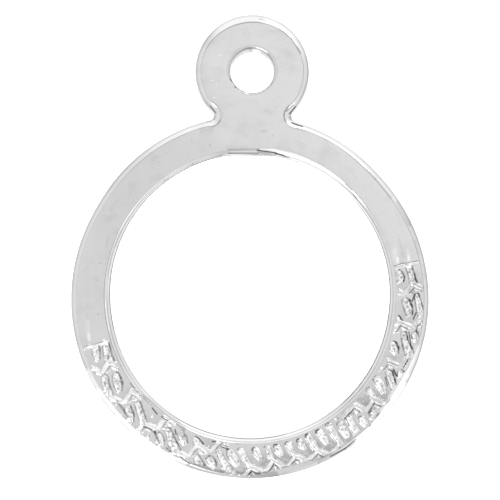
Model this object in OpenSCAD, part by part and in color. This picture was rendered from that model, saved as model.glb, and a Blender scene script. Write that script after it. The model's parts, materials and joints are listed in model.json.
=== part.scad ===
// A ring pendant: a flat silver ring that hangs from a pierced eyelet, cast in one piece.
// Raised stems with spread feet, and drops between them, cover the front below a slanting border.
// The back lies on z = 0, the front faces up, and y points from the ring to the eyelet.

/* [Ring] */
// Outer diameter of the ring
ring_d = 16; // [15.6:0.1:17]
// Thickness of the metal without the ornament
thickness = 1.1; // [0.9:0.05:1.5]
// How far the band swells out below the neck
swell = 0.22; // [0.1:0.01:0.3]
// Direction of the middle of the swelling, in degrees from +X
swell_at = 95; // [90:1:100]
// How far the swelling reaches to either side, in degrees
swell_reach = 54; // [50:1:58]

/* [Opening] */
// Diameter of the lower half of the opening
opening_d = 12.58; // [12.3:0.02:12.7]
// Diameter of the upper half, which is filed a little wider
upper_d = 12.7; // [12.6:0.02:12.8]
// Distance from the ring's centre up to the centre of the upper half
upper_rise = 0.23; // [0.1:0.01:0.3]
// Height above the ring's centre of the flat under the neck
opening_flat = 6.51; // [6.4:0.01:6.55]

/* [Eyelet] */
// Outer diameter of the eyelet
eyelet_d = 5.1; // [4.6:0.1:5.6]
// Diameter of the hole in the eyelet
eyelet_hole_d = 1.95; // [1.6:0.05:2.4]
// Distance from the ring's centre up to the eyelet's centre
eyelet_rise = 10.16; // [9.9:0.02:10.3]
// Distance from the ring's centre line across to the eyelet's centre
eyelet_shift = 0.1; // [0:0.01:0.2]
// Radius of the neck's left inside corner
left_corner_r = 0.2; // [0.15:0.01:0.4]
// Radius of the neck's right inside corner
right_corner_r = 0.3; // [0.15:0.01:0.4]

/* [Edges] */
// Rounding of the outer edge at the front
front_round = 0.26; // [0.1:0.02:0.3]
// Rounding of the opening's edge at the front
opening_round = 0.14; // [0.06:0.02:0.18]
// Rounding of every edge at the back
back_round = 0.12; // [0.06:0.02:0.2]

/* [Ornament] */
// Height of the ornament above the front
relief_h = 0.14; // [0.08:0.01:0.2]
// Slant of the ornament's border, in degrees
slant = 14.5; // [5:0.5:25]
// Distance between neighbouring stems
stem_pitch = 1.01; // [0.98:0.01:1.04]
// Distance between neighbouring rows
row_pitch = 1.52; // [1.5:0.01:1.6]
// Number of rows below the border
row_count = 5; // [3:1:5]
// Distance from the ring's centre line across to the nearest stem
stem_shift = 0.11; // [-0.2:0.01:0.2]
// Radius inside which the front stays smooth
relief_r_min = 6.48; // [6.45:0.01:6.6]
// Radius outside which the front stays smooth
relief_r_max = 7.66; // [7.5:0.01:7.7]
// Distance from the ring's centre down to the middle of the border
border_drop = 0.26; // [0.2:0.01:0.4]
// Width of the border
border_w = 0.12; // [0.08:0.01:0.16]

/* [Hidden] */
$fn = 96;

ring_r = ring_d / 2;
eyelet_r = eyelet_d / 2;
eyelet_at = [eyelet_shift, eyelet_rise];
pendant_middle = (eyelet_rise + eyelet_r - ring_r) / 2;

// The swelling is a second disc off the ring's centre. It crosses the ring at both ends of its reach.
swell_offset = swell / (1 - cos(swell_reach));
swell_r = ring_r + swell - swell_offset;
swell_centre = swell_offset * [cos(swell_at), sin(swell_at)];

// Cuts run past the faces by this much, and added pieces reach this far into what carries them.
spare = 0.2;
// A corner cutter is larger than the true corner by this much, so that no two walls are only tangent.
bite = 0.005;
round_steps = 6;

stem_top_w = 0.24;
stem_base_w = 0.36;
stem_split = 1.07;
foot_w = 0.34;
foot_end = 1.43;
foot_tip = 0.1;
drop_w = 0.38;
drop_top = 0.1;
drop_end = 1.0;
drop_end_r = 0.09;

function arc(centre, r, from, to) =
    [for (i = [0 : round_steps]) let (a = from + (to - from) * i / round_steps)
        centre + r * [cos(a), sin(a)]];

// Centre of the circle of radius r that touches two discs outside, on their right (side = 1) or left (-1).
function corner_centre(a, a_r, b, b_r, r, side) =
    let (span = norm(b - a))
    let (along = (b - a) / span)
    let (reach = ((a_r + r) ^ 2 - (b_r + r) ^ 2 + span ^ 2) / (2 * span))
    let (off = sqrt((a_r + r) ^ 2 - reach ^ 2))
    a + reach * along + side * off * [along.y, -along.x];

left_corner = corner_centre(swell_centre, swell_r, eyelet_at, eyelet_r, left_corner_r, -1);
right_corner = corner_centre(swell_centre, swell_r, eyelet_at, eyelet_r, right_corner_r, 1);

// A plate with a round outline and rounded edges.
module disc(r) {
    rotate_extrude()
        polygon(concat(
            [[0, 0]],
            arc([r - back_round, back_round], back_round, -90, 0),
            arc([r - front_round, thickness - front_round], front_round, 0, 90),
            [[0, thickness]]
        ));
}

// What is cut away for a round hole, or for an inside corner, whose edges are rounded.
module hole(r, edge) {
    rotate_extrude()
        polygon(concat(
            [[0, -spare], [r + back_round, -spare]],
            arc([r + back_round, back_round], back_round, 270, 180),
            arc([r + edge, thickness - edge], edge, 180, 90),
            [[r + edge, thickness + spare], [0, thickness + spare]]
        ));
}

module band() {
    disc(ring_r);
    translate(swell_centre) disc(swell_r);
}

module eyelet() {
    translate(eyelet_at) disc(eyelet_r);
}

module neck() {
    difference() {
        linear_extrude(thickness) polygon([swell_centre, right_corner, eyelet_at, left_corner]);
        translate(right_corner) hole(right_corner_r + bite, front_round);
        translate(left_corner) hole(left_corner_r + bite, front_round);
    }
}

module opening() {
    hole(opening_d / 2, opening_round);
    difference() {
        translate([0, upper_rise]) hole(upper_d / 2, opening_round);
        translate([-ring_r, opening_flat, -2 * spare]) cube([ring_d, ring_r, thickness + 4 * spare]);
    }
}

// One stem: a bar that widens downwards and parts into two feet, which meet the next stems' feet.
module stem() {
    half = concat(
        arc([0, -stem_top_w / 2], stem_top_w / 2, 90, 0),
        [
            [stem_base_w / 2, foot_w / 2 - stem_split],
            [stem_pitch / 2, foot_w / 2 - foot_end],
            [stem_pitch / 2 + bite, -foot_end - foot_tip],
            [stem_pitch / 2 - foot_w / 2, -foot_end]
        ]
    );
    polygon(concat(
        half,
        [[0, -stem_split - foot_w / 2]],
        [for (i = [len(half) - 1 : -1 : 1]) [-half[i].x, half[i].y]]
    ));
}

// One drop: a broad round head, and a narrower round end below it.
module drop() {
    head = [0, -drop_top - drop_w / 2];
    end = [0, drop_end_r - drop_end];
    taper = asin((drop_w / 2 - drop_end_r) / norm(head - end));
    polygon(concat(arc(head, drop_w / 2, 180 + taper, -taper), arc(end, drop_end_r, -taper, taper - 180)));
}

module ornament_field() {
    columns = ceil(ring_r / stem_pitch);
    for (row = [0 : row_count - 1], column = [-columns : columns]) {
        corner = [stem_shift + column * stem_pitch, -row * row_pitch];
        away = norm(corner - [0, row_pitch / 2]);
        if (away > relief_r_min - row_pitch && away < relief_r_max + row_pitch) {
            translate(corner) stem();
            translate(corner + [stem_pitch / 2, 0]) drop();
        }
    }
}

module ornament() {
    rotate(slant)
        intersection() {
            translate([0, 0, thickness - spare])
                linear_extrude(spare + relief_h) {
                    ornament_field();
                    translate([-ring_r, -border_drop - border_w / 2]) square([ring_d, border_w]);
                }
            difference() {
                cylinder(h = thickness + 2 * relief_h, r = relief_r_max);
                translate([0, 0, -spare]) cylinder(h = thickness + 3 * spare, r = relief_r_min);
                translate([-ring_r, -border_drop + border_w / 2, -spare])
                    cube([ring_d, ring_d, thickness + 3 * spare]);
            }
        }
}

module ring_pendant() {
    color("gainsboro")
        translate([0, -pendant_middle, 0]) {
            difference() {
                union() {
                    band();
                    eyelet();
                    neck();
                }
                opening();
                translate(concat(eyelet_at, -spare)) cylinder(h = thickness + 2 * spare, d = eyelet_hole_d);
            }
            ornament();
        }
}

ring_pendant();
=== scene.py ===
# %% [markdown]
# A ring pendant, cast in one piece of silver
#
# This lesson dresses one small casting: a flat ring that hangs from a pierced eyelet. The lower half of its
# front carries raised stems with spread feet, and drops between them. The frame comes first, because every
# size below is either read from it or is one of the casting's own named sizes.

# %% Load the frame
import json
import math

import bpy
import numpy as np
from mathutils.geometry import delaunay_2d_cdt
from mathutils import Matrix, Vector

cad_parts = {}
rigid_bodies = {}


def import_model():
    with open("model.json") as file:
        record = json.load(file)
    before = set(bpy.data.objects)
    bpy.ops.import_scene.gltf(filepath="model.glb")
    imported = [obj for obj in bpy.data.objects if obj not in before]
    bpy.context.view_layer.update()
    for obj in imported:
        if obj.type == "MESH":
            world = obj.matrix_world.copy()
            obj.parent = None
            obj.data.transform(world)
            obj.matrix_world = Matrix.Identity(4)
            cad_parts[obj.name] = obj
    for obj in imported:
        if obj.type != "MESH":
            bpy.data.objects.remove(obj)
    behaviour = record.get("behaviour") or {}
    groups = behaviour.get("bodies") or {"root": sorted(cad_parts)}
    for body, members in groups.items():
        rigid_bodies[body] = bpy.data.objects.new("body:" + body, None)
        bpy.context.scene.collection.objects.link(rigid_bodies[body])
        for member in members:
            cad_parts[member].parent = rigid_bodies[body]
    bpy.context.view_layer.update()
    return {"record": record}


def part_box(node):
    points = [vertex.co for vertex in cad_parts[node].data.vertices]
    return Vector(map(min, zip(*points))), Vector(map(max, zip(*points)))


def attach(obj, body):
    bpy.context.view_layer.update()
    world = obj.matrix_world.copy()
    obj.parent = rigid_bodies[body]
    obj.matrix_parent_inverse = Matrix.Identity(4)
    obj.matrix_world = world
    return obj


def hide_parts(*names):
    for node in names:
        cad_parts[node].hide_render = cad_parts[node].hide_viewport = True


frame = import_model()
record = frame["record"]

# %% [markdown]
# The casting's sizes
#
# Blender works in metres, and a jeweller in millimetres, so every size here is written as a number of MM.
# The ring's centre isn't the origin: the frame's origin is the middle of the whole outline. The overall
# size comes from the frame's box and the eyelet from the frame's own mount, so both follow the casting if
# it changes. What the box can't tell, such as how far the edges are rounded, is a named size in the cell
# that first needs it.

# %% Sizes
MM = 0.001
# The outline stays inside the frame's box by this much.
tuck = 0.001 * MM
low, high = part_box("ring_pendant")
eyelet_mount = next(m for m in record["mounts"] if m["name"] == "eyelet_hole")
hole_r = eyelet_mount["dims"]["r_mm"] * MM
eyelet_at = np.array(eyelet_mount["pos_m"][:2])
eyelet_r = high.y - eyelet_at[1] - tuck
thickness = 2 * eyelet_mount["pos_m"][2]
ring_r = min(high.x, -low.x) - tuck
ring_at = np.array([0.0, low.y + tuck + ring_r])
print(f"ring {2 * ring_r / MM:.1f} mm, eyelet {2 * eyelet_r / MM:.2f} mm, {thickness / MM:.2f} mm thick")

# %% [markdown]
# The camera
#
# The picture looks straight down on the pendant from close by, so the walls round the opening show a
# little. An orthographic camera would hide them. The lens follows from the distance and from how much of
# the plane of the front fills the picture's width.

# %% Camera
camera_distance = 50 * MM
picture_width = 22.18 * MM
picture_centre = (0.002 * MM, -0.155 * MM)
seen_from = 1 * MM
seen_to = 10.0

camera_data = bpy.data.cameras.new("camera")
camera_data.lens = camera_data.sensor_width * camera_distance / picture_width
camera_data.clip_start = seen_from
camera_data.clip_end = seen_to
camera = bpy.data.objects.new("camera", camera_data)
camera.location = (*picture_centre, thickness + camera_distance)
bpy.context.scene.collection.objects.link(camera)
bpy.context.scene.camera = camera
print(f"lens {camera_data.lens:.1f} mm")

# %% [markdown]
# Sums of sockets
#
# Both the ornament and the metal's finish are sums over the surface. Wiring each sum by hand hides what it
# says, so one small class wraps a socket and lets Python's own operators add the Math nodes. Every other
# kind of node comes from one method, which sets the node first and feeds its sockets afterwards.


# %% The class that wraps a socket
class Wire:
    """One socket of a node tree. An operator on it adds the Math node that works it out."""

    def __init__(self, tree, socket=None):
        self.tree = tree
        self.socket = socket

    def node(self, kind, feeds=(), pick=0, stops=None, **settings):
        """Adds a node, sets it, feeds its sockets by name or number, and returns the picked output."""
        made = self.tree.nodes.new(kind)
        for name, setting in settings.items():
            setattr(made, name, setting)
        if stops:
            ramp = made.color_ramp
            while len(ramp.elements) < len(stops):
                ramp.elements.new(1.0)
            for element, (place, grey) in zip(ramp.elements, stops):
                element.position = place
                element.color = (grey, grey, grey, 1.0)
        for place, value in dict(feeds).items():
            if isinstance(value, Wire):
                self.tree.links.new(value.socket, made.inputs[place])
            else:
                made.inputs[place].default_value = value
        return Wire(self.tree, made.outputs[pick] if made.outputs else None)

    def math(self, operation, *values):
        return self.node("ShaderNodeMath", enumerate(values), operation=operation)

    def vector(self, operation, *values, pick="Vector"):
        return self.node("ShaderNodeVectorMath", enumerate(values), pick=pick, operation=operation)

    def parts(self):
        """The x, y and z of a vector."""
        split = self.node("ShaderNodeSeparateXYZ", {0: self}).socket.node
        return [Wire(self.tree, part) for part in split.outputs]

    def __add__(self, other):
        return self.math("ADD", self, other)

    def __radd__(self, other):
        return self.math("ADD", other, self)

    def __sub__(self, other):
        return self.math("SUBTRACT", self, other)

    def __rsub__(self, other):
        return self.math("SUBTRACT", other, self)

    def __mul__(self, other):
        return self.math("MULTIPLY", self, other)

    def __rmul__(self, other):
        return self.math("MULTIPLY", other, self)

    def __truediv__(self, other):
        return self.math("DIVIDE", self, other)

    def __rtruediv__(self, other):
        return self.math("DIVIDE", other, self)

    def __neg__(self):
        return self.math("MULTIPLY", self, -1.0)

    def __abs__(self):
        return self.math("ABSOLUTE", self)

    def ramp(self, low_end, high_end):
        """Rises smoothly from 0 at the low end to 1 at the high end."""
        feeds = {"Value": self, "From Min": low_end, "From Max": high_end}
        return self.node("ShaderNodeMapRange", feeds, interpolation_type="SMOOTHSTEP")


print("a Wire knows:", ", ".join(name.strip("_") for name in vars(Wire) if callable(getattr(Wire, name))))


# %% The larger, the smaller and the share
def most(a, b):
    return (a if isinstance(a, Wire) else b).math("MAXIMUM", a, b)


def least(a, b):
    return (a if isinstance(a, Wire) else b).math("MINIMUM", a, b)


def soft_most(a, b, smoothing):
    return a.math("SMOOTH_MAX", a, b, smoothing)


def soft_least(a, b, smoothing):
    return a.math("SMOOTH_MIN", a, b, smoothing)


def clamp(value):
    return value.node("ShaderNodeClamp", {"Value": value})


def square_root(value):
    return value.math("SQRT", value.math("MAXIMUM", value, 0.0))


def whole(value):
    return value.math("FLOOR", value)


def chance(cell, row, seed, salt):
    """A number from 0 to 1 that belongs to one cell of a chart."""
    place = cell.node("ShaderNodeCombineXYZ", {0: cell, 1: row, 2: seed + salt})
    return cell.node("ShaderNodeTexWhiteNoise", {"Vector": place}, noise_dimensions="3D")


sum_helpers = (most, least, soft_most, soft_least, clamp, square_root, whole, chance)
print("helpers for sums:", ", ".join(helper.__name__ for helper in sum_helpers))

# %% [markdown]
# The outline
#
# A caster files the outline, so it is a chain of arcs that flow into each other: the ring, which swells out
# a little beside the neck, the eyelet, and one tight inside corner on each side of the neck. A curve object
# could hold it, but each contour is kept as points with their outward normals instead. An edge's rounding
# is then only the same contour again, moved inwards and up.


# %% Arcs and circles
def around(centre, radius, start, end, count):
    """Points of an arc, with the direction from its centre."""
    turn = np.linspace(start, end, count, endpoint=False)
    out = np.column_stack([np.cos(turn), np.sin(turn)])
    return centre + radius * out, out


def angle_of(vector):
    return math.atan2(vector[1], vector[0])


def corner_centre(a, a_r, b, b_r, radius, side):
    """Centre of the circle that touches two discs outside, on their right (side = 1) or left (-1)."""
    span = np.linalg.norm(b - a)
    along = (b - a) / span
    reach = ((a_r + radius) ** 2 - (b_r + radius) ** 2 + span**2) / (2 * span)
    off = math.sqrt((a_r + radius) ** 2 - reach**2)
    return a + reach * along + side * off * np.array([along[1], -along[0]])


def blend(a, b, width):
    """The larger of two values, with the crossing smoothed over about that width."""
    return (a + b + np.sqrt((a - b) ** 2 + width**2)) / 2


def polar(turn, radius):
    """A closed curve about the ring's centre, from a radius for each angle, with its outward normals."""
    slope = np.gradient(radius, turn)
    cos, sin = np.cos(turn), np.sin(turn)
    normal = np.column_stack([radius * cos + slope * sin, radius * sin - slope * cos])
    points = ring_at + np.column_stack([radius * cos, radius * sin])
    return points, normal / np.linalg.norm(normal, axis=1, keepdims=True)


def circle_seen_from_ring(turn, radius, offset, offset_at):
    """How far a circle that is set off from the ring's centre lies from it, at each angle."""
    lean = turn - offset_at
    return offset * np.cos(lean) + np.sqrt(radius**2 - (offset * np.sin(lean)) ** 2)


print(f"the eyelet lies at {math.degrees(angle_of(eyelet_at - ring_at)):.1f} degrees from the ring's centre")

# %% The outer contour
swell = 0.22 * MM
swell_at = math.radians(95)
swell_reach = math.radians(54)
swell_offset = swell / (1 - math.cos(swell_reach))
swell_r = ring_r + swell - swell_offset
swell_blend = 0.02 * MM
left_corner_r = 0.2 * MM
right_corner_r = 0.3 * MM
ring_steps = 760
eyelet_steps = 260
corner_steps = 22


def outer_contour():
    swell_centre = ring_at + swell_offset * np.array([math.cos(swell_at), math.sin(swell_at)])
    left = corner_centre(swell_centre, swell_r, eyelet_at, eyelet_r, left_corner_r, -1)
    right = corner_centre(swell_centre, swell_r, eyelet_at, eyelet_r, right_corner_r, 1)

    def touch(corner):
        out = corner - swell_centre
        return angle_of(swell_centre + swell_r * out / np.linalg.norm(out) - ring_at)

    turn = np.linspace(touch(left), touch(right) + 2 * math.pi, ring_steps)
    swollen = circle_seen_from_ring(turn, swell_r, swell_offset, swell_at)
    ring = [side[:-1] for side in polar(turn, blend(ring_r, swollen, swell_blend))]

    def inside_corner(corner, radius, first, last):
        start, end = angle_of(first - corner), angle_of(last - corner)
        end += 2 * math.pi * round((start - end) / (2 * math.pi))
        points, out = around(corner, radius, start, end, corner_steps)
        return points, -out

    right_arc = inside_corner(right, right_corner_r, swell_centre, eyelet_at)
    left_arc = inside_corner(left, left_corner_r, eyelet_at, swell_centre)
    start, end = angle_of(right - eyelet_at), angle_of(left - eyelet_at)
    eyelet = around(eyelet_at, eyelet_r, start, end % (2 * math.pi), eyelet_steps)
    parts = [ring, right_arc, eyelet, left_arc]
    return tuple(np.concatenate([part[side] for part in parts]) for side in (0, 1))


outer = outer_contour()
print("points round the outside:", len(outer[0]))

# %% The opening and the hole
opening_r = 6.29 * MM
upper_r = 6.325 * MM
upper_rise = 0.23 * MM
opening_flat = 6.48 * MM
upper_blend = 0.02 * MM
flat_blend = 0.03 * MM
# The flat is a radius over a sine, and the sine is kept from 0, where the flat plays no part.
smallest_sine = 0.1
opening_steps = 620
hole_steps = 160


def opening_contour():
    turn = np.linspace(0, 2 * math.pi, opening_steps + 1)
    upper = circle_seen_from_ring(turn, upper_r, upper_rise, math.pi / 2)
    radius = blend(opening_r, upper, upper_blend)
    flat = opening_flat / np.maximum(np.sin(turn), smallest_sine)
    radius = -blend(-radius, -flat, flat_blend)
    points, normal = polar(turn, radius)
    return points[:0:-1], -normal[:0:-1]


def hole_contour():
    points, out = around(eyelet_at, hole_r, 2 * math.pi, 0, hole_steps)
    return points, -out


opening = opening_contour()
hole = hole_contour()
print("points round the opening and the hole:", len(opening[0]), len(hole[0]))

# %% [markdown]
# Edges rounded by tumbling
#
# Cast silver is tumbled with steel shot, which rounds every edge, and the front's edges are then rubbed
# further with a cloth, in some places more than in others. A Bevel modifier would give each edge one width,
# but the eye reads silver by the line where a flat meets a rounding, so here each edge is a profile of
# steps, finest where it leaves the flat, and its width wanders along the edge.

# %% Profile of a rounded edge
front_round = 0.27 * MM
opening_round = 0.15 * MM
back_round = 0.12 * MM
hole_round = 0.08 * MM
hole_back_round = 0.3 * MM
# The rounding meets the flat at a slight tilt, and a narrow crease settles the rest.
crease_w = 0.03 * MM
crease_tilt = math.radians(16)
crease_steps = (0.33, 0.67, 1.0)
wall_margin = 0.03 * MM


def edge_profile(back, front, steps):
    """Pairs of inset and height, from the back's flat round the wall to the front's flat."""
    turn = np.linspace(0, math.pi / 2, steps)
    up = [(back * (1 - math.sin(a)), back * (1 - math.cos(a))) for a in turn]
    radius = front / (1 - math.sin(crease_tilt))
    turn = np.linspace(math.pi / 2, crease_tilt, steps)
    drop = crease_w * math.tan(crease_tilt / 2)
    top = thickness - drop
    wall_ends = [(0.0, back + wall_margin), (0.0, top - radius * math.cos(crease_tilt) - wall_margin)]
    down = [(radius * (1 - math.sin(a)), top - radius * (math.cos(crease_tilt) - math.cos(a))) for a in turn]
    settle = [(front + crease_w * step, thickness - drop * (1 - step) ** 2) for step in crease_steps]
    return up + wall_ends + down + settle


print(f"the outer edge is {front_round / MM:.2f} mm round in front and {back_round / MM:.2f} mm behind")


# %% Where the edges are worn
def beside(centre, x, y):
    """A place that is given in millimetres from a centre."""
    return centre + np.array([x, y]) * MM


# Middle of a worn stretch, its reach, and how much wider the rounding is there, as a share
outer_wear = [
    (beside(eyelet_at, -0.4, 2.4), 1.9 * MM, 0.4),
    (beside(ring_at, 0.5, -7.0), 3.2 * MM, -0.45),
    (beside(ring_at, 3.6, 7.2), 1.8 * MM, -0.15),
    (beside(ring_at, 6.9, -4.0), 1.3 * MM, 0.5),
    (beside(ring_at, 1.75, 8.15), 0.35 * MM, 0.5),
    (beside(ring_at, -1.55, 8.1), 0.35 * MM, 0.4),
]
opening_wear = [
    (beside(ring_at, 0.5, -7.0), 3.2 * MM, -0.45),
    (beside(ring_at, -3.9, -5.2), 2.2 * MM, -0.45),
    (beside(ring_at, -3.9, 5.3), 2.2 * MM, -0.5),
    (beside(ring_at, 1.7, 6.3), 2.2 * MM, 0.65),
]
# Middle of a dent in the outline, its reach and its depth
dents = [(beside(eyelet_at, -1.75, -1.65), 0.3 * MM, 0.06 * MM)]
# Everywhere else the rounding wanders by this share, in this many waves round a contour.
wander_share = 0.06
wander_waves = 5
print("worn stretches:", len(outer_wear) + len(opening_wear), "dents:", len(dents))


# %% The shell and the walls that it sweeps
def bump_near(points, place, reach):
    """1 at a place, falling off round it over about that reach."""
    return np.exp(-((points - place) ** 2).sum(axis=1) / reach**2)


class Shell:
    """Collects the points and faces of one closed mesh."""

    def __init__(self):
        self.points = []
        self.faces = []
        self.count = 0

    def add(self, places, height):
        """Adds points at one height, or one height each, and returns their numbers."""
        heights = np.broadcast_to(height, len(places))
        self.points.append(np.column_stack([places, heights]))
        self.count += len(places)
        return np.arange(self.count - len(places), self.count)

    def loop(self, numbers):
        """The places of a loop of points, seen from above."""
        return np.concatenate(self.points)[numbers, :2]

    def sweep(self, contour, profile, wear):
        """Sweeps a profile round a contour. Returns the loops at the back's and the front's flat."""
        points, normal = contour
        for place, reach, depth in dents:
            points = points - normal * (depth * bump_near(points, place, reach))[:, None]
        waves = np.sin(np.arange(len(points)) * 2 * math.pi * wander_waves / len(points))
        wander = 1 + wander_share * waves
        for place, reach, more in wear:
            wander += more * bump_near(points, place, reach)
        loops = []
        for inset, height in profile:
            loops.append(self.add(points - normal * (inset * wander)[:, None], height))
        for lower, upper in zip(loops, loops[1:]):
            quads = [lower, np.roll(lower, -1), np.roll(upper, -1), upper]
            self.faces.append(np.column_stack(quads))
        return loops[0], loops[-1]


shell = Shell()
# Contour, rounding at the back and at the front, steps of each rounding, and wear
walls = [
    (outer, back_round, front_round, 11, outer_wear),
    (opening, back_round, opening_round, 9, opening_wear),
    (hole, hole_back_round, hole_round, 6, []),
]
rims = []
for contour, back, front, steps, wear in walls:
    rims.append(shell.sweep(contour, edge_profile(back, front, steps), wear))
print("wall points:", shell.count)

# %% [markdown]
# The two flats
#
# The back is plain, so a coarse net of triangles fills it. The front needs a fine net where the ornament
# rises, and a coarse one elsewhere. A grid would leave steps along the round rims, so one triangulation
# takes both nets and the rims, and joins them with no gap.

# %% Nets of points
slant = math.radians(14.5)
fine = 0.026 * MM
coarse = 0.3 * MM
net_reach = 1.8 * ring_r


def net(spacing, keep):
    """Points of a triangular net over the casting, in the ornament's slanted directions, where kept."""
    rows = np.arange(-net_reach, net_reach, spacing * math.sqrt(3) / 2)
    columns = np.arange(-net_reach, net_reach, spacing)
    across, down = np.meshgrid(columns, rows)
    across = across + (np.arange(len(rows)) % 2)[:, None] * spacing / 2
    flat = np.column_stack([across.ravel(), down.ravel()])
    cos, sin = math.cos(slant), math.sin(slant)
    places = ring_at + flat @ np.array([[cos, sin], [-sin, cos]])
    return places[keep(places, flat[:, 1])]


print(f"nets of {fine / MM:.3f} mm and {coarse / MM:.1f} mm, turned by {math.degrees(slant):.1f} degrees")

# %% Where a place lies between the rims
# Two points at the same height would divide by 0, so their difference is this instead.
almost_nothing = 1e-12


def loop_radius(loop, places):
    """How far a loop lies from the ring's centre, in the direction of each place."""
    out = shell.loop(loop) - ring_at
    turn = np.arctan2(out[:, 1], out[:, 0])
    order = np.argsort(turn)
    away = places - ring_at
    asked = np.arctan2(away[:, 1], away[:, 0])
    radius = np.hypot(out[:, 0], out[:, 1])
    return np.interp(asked, turn[order], radius[order], period=2 * math.pi)


def room(places):
    """How far each place lies inside the front's flat, between the rims of the ring and of the opening."""
    away = np.hypot(*(places - ring_at).T)
    outer_rim, opening_rim = rims[0][1], rims[1][1]
    return np.minimum(loop_radius(outer_rim, places) - away, away - loop_radius(opening_rim, places))


def inside(places, loop):
    """Which places lie inside a loop, by counting how often a line to the right crosses it."""
    a = shell.loop(loop)
    b = np.roll(a, -1, axis=0)
    x, y = places[:, :1], places[:, 1:]
    crosses = (a[:, 1] > y) != (b[:, 1] > y)
    rise = np.where(a[:, 1] == b[:, 1], almost_nothing, b[:, 1] - a[:, 1])
    at = a[:, 0] + (y - a[:, 1]) * (b[:, 0] - a[:, 0]) / rise
    return (crosses & (at > x)).sum(axis=1) % 2 == 1


def clear_of(places, loop, distance):
    """Which places keep that distance from every point of a loop."""
    a = shell.loop(loop)
    return np.array([np.hypot(*(a - p).T).min() > distance for p in places])


print(f"the front's flat is {2 * room(np.array([[-7.2 * MM, ring_at[1]]]))[0] / MM:.2f} mm or more wide")

# %% Lay the nets
fine_top = 0.45 * MM
fine_gap = fine / 2
coarse_gap = coarse / 3


def keep_fine(places, up):
    near = np.hypot(*(places - ring_at).T) < ring_r
    kept = near & (up < fine_top)
    kept[kept] = room(places[kept]) > fine_gap
    return kept


def keep_coarse(places, up, lowest, side):
    outer_rim, opening_rim, hole_rim = (rim[side] for rim in rims)
    kept = inside(places, outer_rim) & ~inside(places, opening_rim) & ~inside(places, hole_rim)
    kept &= up > lowest
    for loop in (outer_rim, opening_rim, hole_rim):
        kept[kept] = clear_of(places[kept], loop, coarse_gap)
    return kept


front_fine = net(fine, keep_fine)
front_coarse = net(coarse, lambda places, up: keep_coarse(places, up, fine_top + coarse / 2, 1))
back_coarse = net(coarse, lambda places, up: keep_coarse(places, up, -net_reach, 0))
front_points = shell.add(np.concatenate([front_fine, front_coarse]), thickness)
back_points = shell.add(back_coarse, 0.0)
print("net points:", len(front_fine), len(front_coarse), len(back_coarse))

# %% Fill both flats
# What the triangulation is asked for: only what lies inside the borders, and points this close, in MM, as one
only_inside = 1
merge_distance = 1e-7


def fill(loops, extra, upwards):
    """Triangulates a flat between its rims, through the extra points."""
    known = np.concatenate([*loops, extra])
    places = shell.loop(known) / MM
    starts = np.cumsum([0] + [len(loop) for loop in loops])
    borders = [list(range(a, b)) for a, b in zip(starts, starts[1:])]
    borders = [borders[0]] + [border[::-1] for border in borders[1:]]
    _, _, triangles, from_point, _, from_border = delaunay_2d_cdt(
        [tuple(p) for p in places], [], borders, only_inside, merge_distance, True
    )
    new = np.array([known[ids[0]] for ids in from_point])
    kept = np.array([tri for tri, owner in zip(triangles, from_border) if list(owner) == [0]])
    shell.faces.append(new[kept] if upwards else new[kept][:, ::-1])
    return len(kept)


front_count = fill([rim[1] for rim in rims], front_points, True)
back_count = fill([rim[0] for rim in rims], back_points, False)
print("triangles on the front and back:", front_count, back_count)


# %% Make the mesh
def build(name):
    mesh = bpy.data.meshes.new(name)
    faces = [face for block in shell.faces for face in block.tolist()]
    mesh.from_pydata(np.concatenate(shell.points), [], faces)
    mesh.update()
    mesh.shade_smooth()
    return mesh


body_mesh = build("ring_pendant_body")
inset = np.zeros(shell.count)
inset[front_points] = np.maximum(room(shell.loop(front_points)), 0)
body_mesh.attributes.new("room", "FLOAT", "POINT").data.foreach_set("value", inset.astype(np.float32))
body = bpy.data.objects.new("polished_casting", body_mesh)
bpy.context.scene.collection.objects.link(body)
print("body:", len(body_mesh.vertices), "points,", len(body_mesh.polygons), "faces")

# %% [markdown]
# The ornament
#
# The ornament repeats on a slanted chart: a stem in each square, with two feet that meet the neighbours'
# feet, and a drop between each two stems. Separate stems set on the flat would meet it in a hard seam,
# which a casting doesn't have. So one Geometry Nodes tree works out how high each point of the flat stands.
# It folds the chart into one square, measures how near the point is to the stem, the feet and the drop, and
# lifts it by the highest of them. The wax was carved by hand, so a little noise bends the chart, each stem
# and drop gets its own size, and two rows slip sideways at the left end.

# %% Inputs of the ornament
ornament_sizes = {
    "Slant": slant,
    "Stem Pitch": 1.01 * MM,
    "Row Pitch": 1.52 * MM,
    "Rows": 5.0,
    "Stem Shift": 0.11 * MM,
    "Border Drop": 0.26 * MM,
    "Height": 0.125 * MM,
    "Seed": 7.0,
}
print("inputs of the ornament:", ", ".join(ornament_sizes))

# %% Sizes of a stem, its feet and a drop
stem_half = 0.16 * MM
stem_split = 1.1 * MM
foot_half = 0.125 * MM
foot_end = 1.5 * MM
drop_half = 0.2 * MM
drop_top = 0.1 * MM
drop_end = 1.06 * MM
# No bar is thinner than this, so that nothing divides by 0.
smallest_half = 0.02 * MM
# Outside a bar its height sinks to this share of it and no deeper.
below_flat = -0.3
# Stems lean by this share about this place down their row, and their feet lean back by more.
lean_share = 0.3
lean_about = 0.72 * MM
lean_back = 1.5
# The lean is full at this place along the border, and fades out between these distances from it.
lean_middle = 0.3 * MM
lean_fades = (2.5 * MM, 6.5 * MM)
# Row, middle of the slipped stretch along the border, and how far the row slips there
row_slips = [(0, -7.0 * MM, 0.25 * MM), (1, -6.9 * MM, -0.15 * MM)]
slip_rows = (0.2, 0.8)
slip_fades = (1.2 * MM, 2.4 * MM)
# Where the two ends of the ornament begin, along the border
right_end = (4.2 * MM, 5.6 * MM)
left_end = (2.4 * MM, 3.6 * MM)
print(f"stems {2 * stem_half / MM:.2f} mm wide, drops {2 * drop_half / MM:.2f} mm")


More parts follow.
